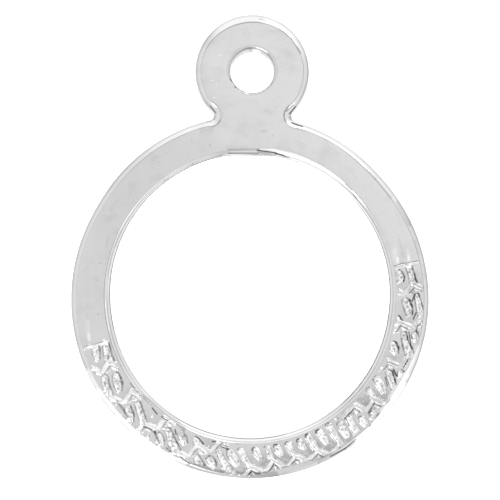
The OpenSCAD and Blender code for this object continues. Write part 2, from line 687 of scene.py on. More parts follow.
# %% The chart
class Chart:
    """One place on the slanted chart: u runs along the border, w away from it, and y down its own row."""

    def __init__(self, u, w, sizes):
        self.u = u
        self.w = w
        self.sizes = sizes
        self.pitch = sizes["Stem Pitch"]
        self.row = whole(w / sizes["Row Pitch"])
        self.base = self.row * sizes["Row Pitch"]
        self.y = w - self.base
        self.at_ends = u.ramp(*right_end) + (-u).ramp(*left_end)
        self.across = (u - self.leaning() - sizes["Stem Shift"]) / self.pitch

    def leaning(self):
        """How far the rows lean or slip sideways at this place."""
        leaning = (self.y - lean_about - lean_back * most(self.y - stem_split, 0.0)) * lean_share
        leaning = leaning * (1 - abs(self.u - lean_middle).ramp(*lean_fades))
        for slipped_row, middle, slip in row_slips:
            near_row = 1 - abs(self.row - slipped_row).ramp(*slip_rows)
            leaning = leaning + slip * (near_row * (1 - abs(self.u - middle).ramp(*slip_fades)))
        return leaning

    def column(self, cell):
        """Where a cell's middle line lies along the border."""
        return cell * self.pitch + self.sizes["Stem Shift"]

    def luck(self, cell, salt):
        """A number from 0 to 1 that belongs to a cell of this row."""
        return chance(cell, self.row, self.sizes["Seed"], salt)

    def towards_ends(self, middle, ends):
        """Goes from one value, in the middle of the ornament, to another, at its two ends."""
        return middle + (ends - middle) * self.at_ends


print("rows that slip:", len(row_slips))

# %% Tops and ends of a bar
carved_from = 6.5 * MM
carved_to = 7.78 * MM
# Length left between a bar's round ends, at which there is no room for it, and at which there is
cramped = (-0.05 * MM, 0.1 * MM)
# Level of a top, where it begins to fall in half widths, and how soft and steep its edges are
top_level = 0.95
top_falls_from = -0.2
top_smoothing = 0.15
edge_steepness = 2.0


def dome(share):
    """A rounded ridge: 1 on its middle line, 0 at its outline, and a little below 0 outside."""
    return most(1 - share * share, below_flat)


def falling_top(share, off_x, half, slope):
    """A top that lies flat on its left half and falls away on its right, inside a steep edge."""
    top = top_level - slope * (off_x / half).ramp(top_falls_from, 1.0)
    return soft_least(most(edge_steepness * (1 - share), below_flat), top, top_smoothing)


def upright(column, chart, top, bottom, half):
    """A bar along y whose two ends are round and stay on the flat. Returns how far y is past its middle line,
    how far down the bar the point is, and 1 where there is room for such a bar at all."""
    first = most(square_root((carved_from + half) ** 2 - column * column) - chart.base, top + half)
    last = least(square_root((carved_to - half) ** 2 - column * column) - chart.base, bottom - half)
    fits = (last - first).ramp(*cramped)
    last = most(last, first)
    nearest = least(most(chart.y, first), last)
    fall = clamp((chart.y - first) / most(last - first, half))
    return chart.y - nearest, fall, fits


print(f"bars are carved from {carved_from / MM:.2f} to {carved_to / MM:.2f} mm off the ring's centre")

# %% Painted shade in the crevices round a bar
# Which way the painted crevice shade faces, in the middle of the ornament and at its ends, and how well a
# side matches
crevice_right = (-0.5, 0.95)
crevice_down = (0.85, 0.35)
crevice_facing = (0.4, 0.8)
# Half widths from the bar's middle line to where the crevice starts, and to where it begins and ends to fade,
# each of the last two in the middle of the ornament and at its ends
crevice_starts = (0.8, 0.94)
crevice_fades = [(1.1, 1.2), (1.25, 1.45)]
# The same for the weaker painted shade along a bar's left side, and its depth
left_facing = (0.4, 0.9)
left_starts = (0.7, 0.85)
left_fades = (1.0, 1.15)
left_depth = 0.45


def crevice(chart, off_x, off_y, distance, share):
    """Painted shade: 1 in the thin crevice round the top of a bar, on the side that it faces, and less along
    its left side. Towards the two ends of the ornament it lies along the bar's right side instead."""
    right, down = (chart.towards_ends(*pair) for pair in (crevice_right, crevice_down))
    facing = (off_x * right - off_y * down) / distance
    fades = [chart.towards_ends(*pair) for pair in crevice_fades]
    band = share.ramp(*crevice_starts) * (1 - share.ramp(*fades))
    left = (-off_x / distance).ramp(*left_facing)
    left = left * share.ramp(*left_starts) * (1 - share.ramp(*left_fades))
    return most(facing.ramp(*crevice_facing) * band, left_depth * left)


print(f"a crevice ends at {crevice_fades[1][0]} half widths, and at {crevice_fades[1][1]} near the ends")

# %% Stems and drops
# How far the tops of stems and drops fall, in the middle of the ornament and at its ends
top_slopes = (0.85, 0.3)
# The painted crevice shade starts where a bar has this share of its room, and chance leaves at least this
# much of it.
crevice_shade_fits = (0.5, 1.0)
crevice_shade_least = 0.7
# Width at the top as a share, how much it grows downwards or at the belly, and how much chance adds
stem_widths = {"top": 0.82, "down": 0.25, "chance": 0.2}
drop_widths = {"top": 0.8, "down": -0.2, "belly": 0.2, "chance": 0.1}
stem_wander = 0.08 * MM
drop_wander = 0.05 * MM
# Added to the seed, so that each choice has a chance of its own
stem_salt = 0.1
drop_salt = 0.4
wander_salt = 0.7


def carved_bar(chart, column, off_x, ends, half, width, luck):
    """Height of one bar, and the painted shade in the crevice round it. The function given as width tells its
    width at a share of its length."""
    off_y, fall, fits = upright(column, chart, *ends, half)
    distance = square_root(off_x * off_x + off_y * off_y)
    share = distance / most(half * fits * width(fall), smallest_half)
    height = falling_top(share, off_x, half, chart.towards_ends(*top_slopes))
    shade_and_marks = crevice(chart, off_x, off_y, distance, share) * fits.ramp(*crevice_shade_fits)
    return height, shade_and_marks * (crevice_shade_least + (1 - crevice_shade_least) * luck)


def stem(chart):
    """Height and painted crevice shade of the nearest stem, and how far the place lies to the right of its
    middle line.
    """
    cell = whole(chart.across + 0.5)
    luck = chart.luck(cell, stem_salt)
    wander = (chart.luck(cell, wander_salt) - 0.5) * stem_wander
    x = (chart.across - cell) * chart.pitch

    def width(fall):
        return stem_widths["top"] + stem_widths["down"] * fall + stem_widths["chance"] * luck

    ends = (0.0, stem_split + stem_half)
    height, shade_and_marks = carved_bar(chart, chart.column(cell), x - wander, ends, stem_half, width, luck)
    return height, shade_and_marks, x


def drop(chart):
    """Height and painted crevice shade of the nearest drop, half a pitch off the stems."""
    cell = whole(chart.across)
    luck = chart.luck(cell, drop_salt)
    off_x = (chart.across - cell - 0.5) * chart.pitch + (luck - 0.5) * drop_wander

    def width(fall):
        belly = 4 * fall * (1 - fall)
        slim = drop_widths["top"] + drop_widths["down"] * fall
        return slim + drop_widths["belly"] * belly + drop_widths["chance"] * luck

    return carved_bar(chart, chart.column(cell + 0.5), off_x, (drop_top, drop_end), drop_half, width, luck)


salts = (stem_salt, drop_salt, wander_salt)
print("seeds of the chances:", [ornament_sizes["Seed"] + salt for salt in salts])

# %% Feet
foot_run = ornament_sizes["Stem Pitch"] / 2
foot_rise = 1.3
# Level of a foot's top where the stem splits, and how far it falls towards the tip
foot_levels = (0.9, 0.3)
foot_smoothing = 0.3
# The arch lies this far under the feet. It begins to fade at a share of their run, over another share.
arch_gap = 0.2 * MM
arch_half = 0.045 * MM
arch_level = 0.55
arch_ends = (0.6, 0.4)
# Gap between the feet and the line of painted shade under them, in half widths of the arch, and its depth
under_gap = 0.3
under_depth = 0.65


def feet(chart, x):
    """Height of a stem's two feet with the small arch below them, and the painted shade in the line under the
    feet.
    """
    run_x, run_y = foot_run, foot_end - stem_split
    length = math.hypot(run_x, run_y)
    across = abs(x)
    down = chart.y - stem_split
    along = clamp((across * run_x + down * run_y) / length**2)
    foot_x, foot_y = across - along * run_x, down - along * run_y
    foot = foot_rise * dome(square_root(foot_x * foot_x + foot_y * foot_y) / foot_half)
    foot = soft_least(foot, foot_levels[0] - foot_levels[1] * along, foot_smoothing)
    under_foot = (down * run_x - across * run_y) / length
    beside_stem = 1 - (across - arch_ends[0] * run_x).ramp(0.0, arch_ends[1] * run_x)
    arch = arch_level * dome((under_foot - arch_gap) / arch_half) * beside_stem
    under_foot_shade = dome((under_foot - foot_half - under_gap * arch_half) / arch_half)
    return most(foot, arch), under_depth * under_foot_shade * beside_stem


print(f"feet reach {foot_run / MM:.3f} mm to each side")

# %% The height of the ornament as a sum
# How softly two raised parts join, how softly one is cut off, and how softly it meets the flat
soft_join = 0.05
soft_cut = 0.1
soft_ground = 0.04
# Feet are smoother than stems and drops.
foot_grain_loss = 0.7
foot_grain_starts = (-0.1, 0.15)
under_foot_shade_levels = (1.0, 0.55)
# The border, and the thin line of painted shade above it
border_half = 0.075 * MM
border_level = 0.4
border_line_half = 0.03 * MM
border_line_fades = (0.4, 1.0)
border_line_depth = 0.6
# Painted shade that darkens towards the lower side of each row, in the middle of the ornament and at its ends
painted_row_shades = (0.32, 0.15)
painted_row_shade_starts = (0.3 * MM, 1.3 * MM)
shade_below_border = (0.0, 0.5)
# Towards the left end there is less painted shade, and none lies on a part this high.
left_shade_loss = 0.35
left_shade_fades = (3.4 * MM, 4.6 * MM)
top_is_clean = (0.35, 0.65)


def ornament_height(chart):
    """Height above the front, the painted shade in the crevices and along the rows, and how grainy the top
    is.
    """
    stem_height, stem_shade, x = stem(chart)
    foot_height, under_foot_shade = feet(chart, x)
    drop_height, drop_shade = drop(chart)
    shade_and_marks = most(most(stem_shade, drop_shade), under_foot_shade * chart.towards_ends(*under_foot_shade_levels))
    tallest = soft_most(stem_height, drop_height, soft_join)
    grain = 1 - foot_grain_loss * (foot_height - tallest).ramp(*foot_grain_starts)
    tallest = soft_most(tallest, foot_height, soft_cut)

    off_border = chart.w - chart.sizes["Border Drop"]
    below_border = off_border / stem_half
    above_end = (chart.sizes["Rows"] * chart.sizes["Row Pitch"] - chart.w) / stem_half
    tallest = soft_least(tallest, soft_least(below_border, above_end, soft_cut), soft_cut)
    border = border_level * dome(abs(off_border) / border_half)
    height = soft_most(soft_most(tallest, border, soft_join), 0.0, soft_ground)

    shade = chart.towards_ends(*painted_row_shades) * chart.y.ramp(*painted_row_shade_starts)
    shade_and_marks = most(shade_and_marks, shade) * below_border.ramp(*shade_below_border)
    shade_and_marks = shade_and_marks * (1 - left_shade_loss * (-chart.u).ramp(*left_shade_fades))
    border_line = (abs(off_border + border_half) / border_line_half).ramp(*border_line_fades)
    shade_and_marks = most(shade_and_marks, border_line_depth * (1 - border_line))
    return height, shade_and_marks * (1 - height.ramp(*top_is_clean)), grain


print(f"the border is {2 * border_half / MM:.2f} mm wide")

# %% The tree that lifts it
# Scale of a noise that bends the chart, and how far it bends it
bends = [(1.6 / MM, 0.2 * MM), (5.0 / MM, 0.04 * MM)]
# A second noise frays the ornament's edge along the rims, and everything sinks to the flat at the rims.
ragged_scale = 3.0 / MM
ragged_starts = (0.35, 0.75)
ragged_depth = 0.2 * MM
margin_w = 0.1 * MM
rim_fades = (0.0, 0.04 * MM)


def ornament_tree():
    tree = bpy.data.node_groups.new("raised_ornament", "GeometryNodeTree")
    tree.is_modifier = True
    sockets = tree.interface
    sockets.new_socket("Geometry", in_out="INPUT", socket_type="NodeSocketGeometry")
    for name in ornament_sizes:
        sockets.new_socket(name, in_out="INPUT", socket_type="NodeSocketFloat")
    sockets.new_socket("Material", in_out="INPUT", socket_type="NodeSocketMaterial")
    sockets.new_socket("Geometry", in_out="OUTPUT", socket_type="NodeSocketGeometry")
    tools = Wire(tree)
    given = tree.nodes.new("NodeGroupInput")
    sizes = {name: Wire(tree, given.outputs[name]) for name in ornament_sizes}

    local = tools.vector("SUBTRACT", tools.node("GeometryNodeInputPosition"), (*ring_at, 0.0))
    feeds = {"Vector": local, "Angle": -sizes["Slant"]}
    charted = tools.node("ShaderNodeVectorRotate", feeds, rotation_type="Z_AXIS")
    for scale, reach in bends:
        feeds = {"Vector": local, "Scale": scale, "Detail": 1.0}
        wobble = tools.node("ShaderNodeTexNoise", feeds, pick="Color")
        bend = tools.vector("SUBTRACT", wobble, (0.5, 0.5, 0.5))
        bend = tools.node("ShaderNodeVectorMath", {0: bend, "Scale": reach}, operation="SCALE")
        charted = tools.vector("ADD", charted, bend)
    u, v, _ = charted.parts()
    raised, shade_and_marks, grain = ornament_height(Chart(u, -v, sizes))

    edge = tools.node("GeometryNodeInputNamedAttribute", {"Name": "room"}, data_type="FLOAT")
    ragged = tools.node("ShaderNodeTexNoise", {"Vector": local, "Scale": ragged_scale, "Detail": 1.0})
    margin = (edge - ragged.ramp(*ragged_starts) * ragged_depth) / margin_w
    raised = soft_most(soft_least(raised, margin, soft_cut), 0.0, soft_ground) * edge.ramp(*rim_fades)
    shade_and_marks = shade_and_marks * edge.ramp(*rim_fades)
    lift = tools.node("ShaderNodeCombineXYZ", {2: raised * sizes["Height"]})
    geometry = Wire(tree, given.outputs["Geometry"])
    geometry = tools.node("GeometryNodeSetPosition", {"Geometry": geometry, "Offset": lift})
    for name, value in (("raised", raised), ("shade_and_marks", shade_and_marks), ("grain", grain)):
        feeds = {"Geometry": geometry, "Name": name, "Value": value}
        geometry = tools.node("GeometryNodeStoreNamedAttribute", feeds, data_type="FLOAT", domain="POINT")
    geometry = tools.node("GeometryNodeRealizeInstances", {"Geometry": geometry})
    feeds = {"Geometry": geometry, "Material": Wire(tree, given.outputs["Material"])}
    geometry = tools.node("GeometryNodeSetMaterial", feeds)
    tools.node("NodeGroupOutput", {"Geometry": geometry})
    return tree


lifting_tree = ornament_tree()
print("nodes that lift the ornament:", len(lifting_tree.nodes))

# %% [markdown]
# Polished silver
#
# Silver shows its surroundings more than itself. Its own colour is a near white, and what the eye reads as
# silver is the roughness: low on the flats that were rubbed, a little higher in smudges from handling, and
# highest on the ornament, whose tops keep matt grains of the casting. A grey of painted shade lies in the
# hollows, along creases and rims and low on the opening's wall. One even metal would look like plastic foil,
# and a picture laid over the casting would hold only one light. So the tree's attributes say where the
# painted shade and the grain go, and a dark stroke in one place is either a pit, a scratch or a file mark in
# the metal, or painted shade along a crease or rim, while a flare of matt metal catches the light. The
# painted shade low on the opening's wall would still shine as a colour alone, because every metal shines at a
# grazing view, so it mixes in a dull black surface.

# %% Dark strokes: pits, scratches and file marks, and painted shade along creases and rims
# Each row is one stroke: x and y of its first and last point, its half width, all in MM, and its depth.
# The pits and scratches are marks in the metal; the other groups are painted shade along creases, rims and
# the ornament's bars.
marks_and_painted_shade = {
    "left of the neck": [
        (-1.77, 6.25, -1.51, 5.94, 0.03, 0.8),
        (-1.58, 5.9, -1.59, 5.66, 0.04, 0.25),
        (-2.13, 5.17, -1.68, 5.26, 0.16, 0.08),
        (-2.13, 4.99, -1.77, 5.08, 0.2, 0.05),
        (-1.68, 6.36, -1.6, 6.29, 0.11, 0.2),
    ],
    "right of the neck": [
        (1.75, 5.9, 2.03, 6.22, 0.04, 0.85),
        (1.6, 6.0, 1.93, 6.28, 0.03, 0.7),
        (1.77, 5.74, 1.79, 5.67, 0.08, 0.3),
        (1.84, 5.49, 2.33, 5.33, 0.05, 0.9),
    ],
    "under the neck": [
        (-0.97, 4.28, 0.41, 4.31, 0.06, 0.4),
        (0.3, 4.28, 1.1, 4.17, 0.035, 0.6),
        (1.1, 4.17, 1.48, 4.04, 0.035, 0.65),
        (1.48, 4.04, 1.9, 3.83, 0.035, 0.9),
        (0.4, 4.21, 1.14, 4.13, 0.1, 0.4),
        (1.14, 4.13, 1.48, 4.04, 0.07, 0.45),
        (1.48, 4.04, 1.75, 3.95, 0.035, 0.6),
        (-1.02, 4.4, -0.18, 4.39, 0.12, 0.07),
        (-0.95, 4.14, 0.35, 4.14, 0.05, 0.6),
        (-3.83, 2.91, -2.55, 3.66, 0.04, 0.35),
        (-2.55, 3.66, -1.25, 4.07, 0.04, 0.35),
    ],
    "upper right of the opening": [
        (4.22, 2.77, 4.51, 2.48, 0.035, 0.9),
        (4.54, 2.43, 4.73, 2.13, 0.03, 0.4),
    ],
    "pits and scratches on the flats": [
        (0.67, 6.03, 0.93, 5.92, 0.12, 0.07),
        (0.53, 5.1, 0.71, 5.12, 0.1, 0.12),
        (1.0, 4.92, 1.01, 4.92, 0.05, 0.2),
        (-1.78, 4.48, -1.77, 4.48, 0.06, 0.18),
        (1.11, 6.21, 1.12, 6.19, 0.05, 0.12),
        (-1.64, 7.3, -1.63, 7.29, 0.04, 0.15),
        (1.42, 8.01, 1.43, 7.99, 0.04, 0.15),
        (-6.68, -0.73, -6.66, -0.75, 0.05, 0.2),
        (-6.74, -2.99, -6.73, -3.01, 0.05, 0.2),
        (-6.3, 0.47, -6.36, 0.02, 0.08, 0.08),
        (6.61, 0.29, 6.79, -0.4, 0.1, 0.08),
        (7.34, 0.24, 7.48, -0.35, 0.09, 0.1),
    ],
    "upper right rim of the ring": [
        (1.77, 5.31, 2.84, 5.05, 0.07, 0.16),
        (2.84, 5.05, 3.94, 4.47, 0.07, 0.16),
        (3.94, 4.47, 4.79, 3.77, 0.07, 0.16),
        (4.79, 3.77, 5.56, 3.01, 0.07, 0.16),
        (5.56, 3.01, 6.24, 2.17, 0.07, 0.16),
        (6.54, 1.97, 7.11, 0.96, 0.1, 0.2),
    ],
    "hole and rim of the eyelet": [
        (-0.88, 7.45, -0.64, 7.07, 0.05, 0.45),
        (-0.64, 7.07, -0.26, 6.82, 0.05, 0.45),
        (2.24, 8.58, 1.86, 9.22, 0.07, 0.3),
        (1.86, 9.22, 1.24, 9.78, 0.07, 0.4),
        (1.24, 9.78, 0.46, 10.08, 0.07, 0.35),
    ],
    "lower rim of the ring": [
        (3.59, -9.31, 4.22, -8.98, 0.06, 0.6),
        (4.22, -8.98, 4.68, -8.56, 0.045, 0.6),
        (3.06, -9.56, 4.6, -8.69, 0.12, 0.22),
        (-2.68, -9.73, -1.12, -10.14, 0.24, 0.4),
        (-0.79, -10.18, 1.09, -10.14, 0.24, 0.36),
        (6.21, -6.81, 6.08, -6.95, 0.04, 0.6),
        (5.7, -7.4, 5.62, -7.52, 0.04, 0.6),
        (5.36, -7.9, 5.3, -7.98, 0.04, 0.6),
    ],
    "left side of the ornament": [
        (-5.9, -6.85, -5.41, -7.52, 0.08, 0.5),
        (-4.74, -7.92, -4.21, -8.23, 0.09, 0.4),
        (-4.23, -8.23, -4.01, -8.72, 0.07, 0.6),
        (-3.7, -8.94, -3.44, -9.16, 0.05, 0.5),
        (-3.1, -9.31, -2.7, -9.65, 0.05, 0.5),
        (-4.34, -7.16, -4.12, -7.43, 0.04, 0.9),
        (-3.92, -7.54, -3.64, -7.72, 0.035, 0.8),
        (-3.32, -8.14, -3.28, -8.32, 0.05, 0.8),
        (-5.32, -6.05, -4.97, -6.5, 0.03, 0.6),
        (-1.67, -8.65, -1.54, -8.65, 0.035, 0.9),
        (-1.28, -8.88, -0.97, -8.98, 0.045, 0.9),
        (-4.76, -6.65, -2.91, -8.08, 0.11, 0.35),
    ],
    "right side of the ornament": [
        (7.32, -2.11, 7.2, -2.42, 0.045, 0.9),
        (7.37, -2.93, 7.25, -3.22, 0.04, 0.8),
        (7.43, -3.48, 7.37, -3.79, 0.035, 0.7),
        (7.05, -3.79, 7.14, -4.41, 0.035, 0.85),
        (6.99, -5.03, 6.81, -5.34, 0.04, 0.85),
        (6.37, -5.46, 6.5, -5.74, 0.055, 0.95),
        (5.99, -5.79, 6.1, -6.19, 0.035, 0.7),
        (6.08, -5.1, 6.54, -5.3, 0.035, 0.5),
    ],
}
print("dark marks:", sum(len(rows) for rows in marks_and_painted_shade.values()))

# %% Flares of matt metal
# Rows as above
flares = {
    "neck and eyelet": [
        (1.58, 6.06, 1.55, 5.7, 0.08, 0.25),
        (-1.55, 8.4, -1.5, 6.9, 0.65, 0.07),
    ],
    "left side of the opening": [
        (-6.02, -0.1, -6.33, -1.42, 0.05, 0.5),
        (-6.33, -1.42, -6.4, -2.64, 0.05, 0.6),
        (-6.4, -2.64, -6.25, -3.75, 0.05, 0.5),
    ],
    "left end of the border": [
        (-6.47, -4.19, -6.39, -4.28, 0.12, 1.2),
        (-7.14, -4.39, -7.05, -4.44, 0.12, 1),
        (-7.21, -3.35, -7.14, -4.06, 0.15, 0.15),
        (-7.16, -3.88, -7.12, -4.15, 0.11, 0.35),
    ],
    "right end of the border": [
        (6.43, -0.07, 6.56, -0.69, 0.13, 0.15),
        (6.53, -0.5, 6.56, -0.69, 0.1, 0.45),
        (6.99, -0.16, 7.05, -0.58, 0.13, 0.15),
        (7.03, -0.42, 7.05, -0.58, 0.1, 0.45),
        (6.36, -0.16, 6.41, -0.55, 0.1, 0.15),
    ],
    "lower left rim of the ring": [
        (-7.24, -5.58, -6.7, -6.54, 0.22, 0.8),
        (-6.7, -6.54, -5.89, -7.66, 0.3, 1),
        (-5.89, -7.66, -4.89, -8.62, 0.22, 0.8),
        (-4.88, -8.61, -3.46, -9.46, 0.25, 0.9),
        (-5.6, -7.75, -4.6, -8.62, 0.12, 0.5),
    ],
    "lower right rim of the ring": [
        (6.32, -6.62, 6.92, -5.73, 0.25, 0.8),
        (6.92, -5.73, 7.45, -4.49, 0.2, 0.5),
        (4.66, -8.77, 5.89, -7.66, 0.2, 1),
        (6.03, -7.51, 6.89, -6.18, 0.22, 1),
        (5.9, -7.3, 6.22, -6.88, 0.2, 1),
        (5.62, -7.78, 5.5, -7.92, 0.14, 1),
    ],
}
print("flares:", sum(len(rows) for rows in flares.values()))

# %% Places and patterns on the silver
# Heights above the back between which the finish of the walls and the front begins
off_back_starts = (0.02 * MM, 0.12 * MM)
# Scale and detail of each pattern's noise, and the two levels between which it rises from 0 to 1
patterns = {
    "smudge": (0.9 / MM, 3.0, 0.45, 0.7),
    "streak": (2.2, 3.0, 0.5, 0.75),
    "speck": (9 / MM, 1.0, 0.68, 0.76),
    "pit": (9 / MM, 2.0, 0.54, 0.62),
    "matt grain": (8 / MM, 2.0, 0.44, 0.58),
    # These patches vary how deep the painted shade of the ornament is.
    "patch of film": (3.5 / MM, 2.0, 0.4, 0.55),
}


class Face:
    """The places that the finish is worked out from, and the patterns that lie on them."""

    def __init__(self, tree):
        self.tools = Wire(tree)
        self.place = self.tools.node("ShaderNodeTexCoord", pick="Object")
        self.across, _, self.up = self.place.parts()
        self.flat = self.tools.vector("MULTIPLY", self.place, (1.0, 1.0, 0.0))
        self.from_ring = self.tools.vector("SUBTRACT", self.place, (*ring_at, 0.0))
        self.radius = self.tools.vector("LENGTH", self.from_ring, pick="Value")
        self.out = self.tools.vector("NORMALIZE", self.from_ring)
        self.off_back = self.up.ramp(*off_back_starts)

    def attribute(self, name):
        return self.tools.node("ShaderNodeAttribute", pick="Fac", attribute_name=name)

    def noise(self, scale, detail, place=None):
        feeds = {"Vector": place or self.place, "Scale": scale, "Detail": detail}
        return self.tools.node("ShaderNodeTexNoise", feeds)

    def pattern(self, name, place=None):
        scale, detail, low_end, high_end = patterns[name]
        return self.noise(scale, detail, place).ramp(low_end, high_end)

    def facing(self, azimuth, reach):
        """1 on the part of the ring that lies towards an azimuth, and 0 from its reach on."""
        turn = math.radians(azimuth)
        direction = (math.cos(turn), math.sin(turn), 0.0)
        towards = self.tools.vector("DOT_PRODUCT", self.out, direction, pick="Value")
        return towards.ramp(math.cos(math.radians(reach)), math.cos(math.radians(reach / 2)))


print("patterns:", ", ".join(patterns))

# %% The painted shade low on the opening's wall
# How far below the ring's centre the opening's bottom begins, and between which heights the painted shade
# lies there
south_starts = (4.3 * MM, 5.6 * MM)
south_line_starts = (0.3 * MM, 0.36 * MM)
south_line_ends = (0.46 * MM, 0.52 * MM)
# Everywhere else it reaches up from the back and fades out here.
wall_foot_shade_ends = (0.16 * MM, 0.5 * MM)
# It stays inside this distance from the ring's centre.
wall_foot_shade_radius = (7 * MM, 7.5 * MM)
# Azimuth and reach, in degrees, of the stretches where the painted shade is left out, and by how much
unshaded_stretches = [(57, 18, 1.0), (216, 26, 0.7), (298, 18, 0.6)]


# Painted shade: a dark line low on the opening's wall, 1 where it is full.
def wall_foot_shade(face):
    south = (-face.from_ring.parts()[1]).ramp(*south_starts)
    line = south * face.up.ramp(*south_line_starts) * (1 - face.up.ramp(*south_line_ends))
    line = line + (1 - south) * (1 - face.up.ramp(*wall_foot_shade_ends))
    line = line * face.off_back * (1 - face.radius.ramp(*wall_foot_shade_radius))
    for azimuth, reach, share in unshaded_stretches:
        line = line * (1 - share * face.facing(azimuth, reach))
    return line


print("polished stretches of the dull line:", len(unshaded_stretches))

# %% The shade round the eyelet's hole
# A line of shade on the edge of the hole, and a fainter one outside it
hole_line_r = 1.01 * MM
outside_line_r = 1.12 * MM
hole_line_fades = (0.02 * MM, 0.05 * MM)
hole_line_starts = (0.7 * MM, 0.9 * MM)
# Depth of the shade everywhere, and how much is added below and above the hole's middle, from where to where
hole_depth = 0.2
depth_below = 0.15
depth_below_starts = (0.0, 0.8 * MM)
depth_above = 0.3
depth_above_starts = (0.3 * MM, 0.9 * MM)
outside_depth = 0.1
outside_starts = (-0.4 * MM, 0.0)


def hole_shade(face):
    from_eyelet = face.tools.vector("DISTANCE", face.flat, (*eyelet_at, 0.0), pick="Value")
    north = face.flat.parts()[1] - float(eyelet_at[1])
    depth = hole_depth + depth_below * (-north).ramp(*depth_below_starts)
    depth = depth + depth_above * north.ramp(*depth_above_starts)
    line = 1 - abs(from_eyelet - hole_line_r).ramp(*hole_line_fades)
    line = line * face.up.ramp(*hole_line_starts) * depth
    outside = 1 - abs(from_eyelet - outside_line_r).ramp(*hole_line_fades)
    return line + outside_depth * outside * north.ramp(*outside_starts) * face.off_back


print(f"the hole's shade lies {(hole_line_r - hole_r) / MM:.3f} mm outside its edge")


# %% Strokes over the front
def strokes(face, groups, core):
    """The sum of strokes over the face, each from its first point to its second. The core is the share of its
    half width that has its full depth."""
    total = 0.0
    for x1, y1, x2, y2, half, depth in (row for rows in groups.values() for row in rows):
        length = math.hypot(x2 - x1, y2 - y1)
        along = ((x2 - x1) / length, (y2 - y1) / length, 0.0)
        away = face.tools.vector("SUBTRACT", face.flat, (x1 * MM, y1 * MM, 0.0))
        run = face.tools.vector("DOT_PRODUCT", away, along, pick="Value")
        nearest = least(most(run, 0.0), length * MM)
        step = face.tools.node("ShaderNodeVectorMath", {0: along, "Scale": nearest}, operation="SCALE")
        distance = face.tools.vector("DISTANCE", away, step, pick="Value")
        total = depth * (1 - distance.ramp(core * half * MM, half * MM)) + total
    return total


# Heights over which strokes fade in, and the lower ones on the opening's wall, inside a radius
front_starts = (0.7 * MM, 0.95 * MM)
wall_front_starts = (0.35 * MM, 0.6 * MM)
wall_front_radius = (6.8 * MM, 7.1 * MM)


def near_front(face):
    """1 where strokes show, and 0 on the back, which they would reach otherwise."""
    near_opening = face.up.ramp(*wall_front_starts) * (1 - face.radius.ramp(*wall_front_radius))
    return most(face.up.ramp(*front_starts), near_opening)


print(f"strokes fade out {front_starts[0] / MM:.2f} mm above the back")

# %% Levels of the finish
clean_level = 0.94
# What each pattern takes off the clean level, and what the painted shade and dark marks, and the pits take
# off the rest
pattern_depths = {"smudge": 0.03, "streak": 0.06, "speck": 0.1}
shade_and_marks_depth = 0.9
pit_depth = 0.45
# The most painted shade and dark marks there are, and how much of the attribute's painted shade stays in thin
# and is added in thick patches
shade_and_marks_limit = 0.95
attribute_shade_levels = (0.55, 0.65)
# The painted shade low on the wall darkens the colour and, by this share, is a black matt surface of its own,
# put where there is only shade.
wall_foot_shade_depth = 0.95
black_sheet_share = 0.8
black_sheet_colour = (0.02, 0.02, 0.02, 1.0)
# Streaks are a noise that is long round the ring and narrow across it.
streak_turns = 4.5
streak_rings = 0.9 / MM
# The matt grains come from another part of the noise than the pits.
grain_place = (0.0, 0.0, 5 * MM)
top_starts = (0.02, 0.3)
# Share of a stroke's half width that has its full depth
mark_core = 0.4
flare_core = 0.0
# How much less of a metal the matt grains are, and how much more a flare counts
matt_share = 0.18
flare_gain = 1.2
clean_roughness = 0.08
smudge_roughness = 0.04
# The ornament is rougher than the flats, and less so towards its right end.
top_roughness = 0.3
right_polish = 0.1
right_polish_starts = (4.8 * MM, 6.2 * MM)
# Scale and detail of each unevenness of the surface, and its height
unevenness = {
    "hand polish": (0.55 / MM, 1.0, 2.0 * MM),
    "cloth": (3.5 / MM, 2.0, 0.08 * MM),
    "cast grain": (9 / MM, 1.0, 1.6 * MM),
}
bump_distance = 0.01
print(f"clean silver reflects {clean_level:.0%} of the light")


# %% The metal's finish
def surface_level(face, shade_and_marks, pits):
    """How light the metal is: the clean level less what handling, painted shade, dark marks and pits take
    off.
    """
    lifted = face.tools.node("ShaderNodeCombineXYZ", {2: face.radius * streak_rings})
    along_ring = face.tools.vector("MULTIPLY_ADD", face.out, (streak_turns, streak_turns, 0.0), lifted)
    level = clean_level
    for name, depth in pattern_depths.items():
        level = level - depth * face.pattern(name, along_ring if name == "streak" else None)
    return level * (1 - shade_and_marks_depth * shade_and_marks) * (1 - pit_depth * pits)


def surface_bump(face, grainy_top):
    """The unevenness of the surface. Only the tops of the ornament keep the grain of the casting."""
    total = 0.0
    for name, (scale, detail, height) in unevenness.items():
        waves = face.noise(scale, detail)
        if name == "cast grain":
            waves = waves * grainy_top
        total = waves * height + total
    return face.tools.node("ShaderNodeBump", {"Height": total, "Strength": 1.0, "Distance": bump_distance})


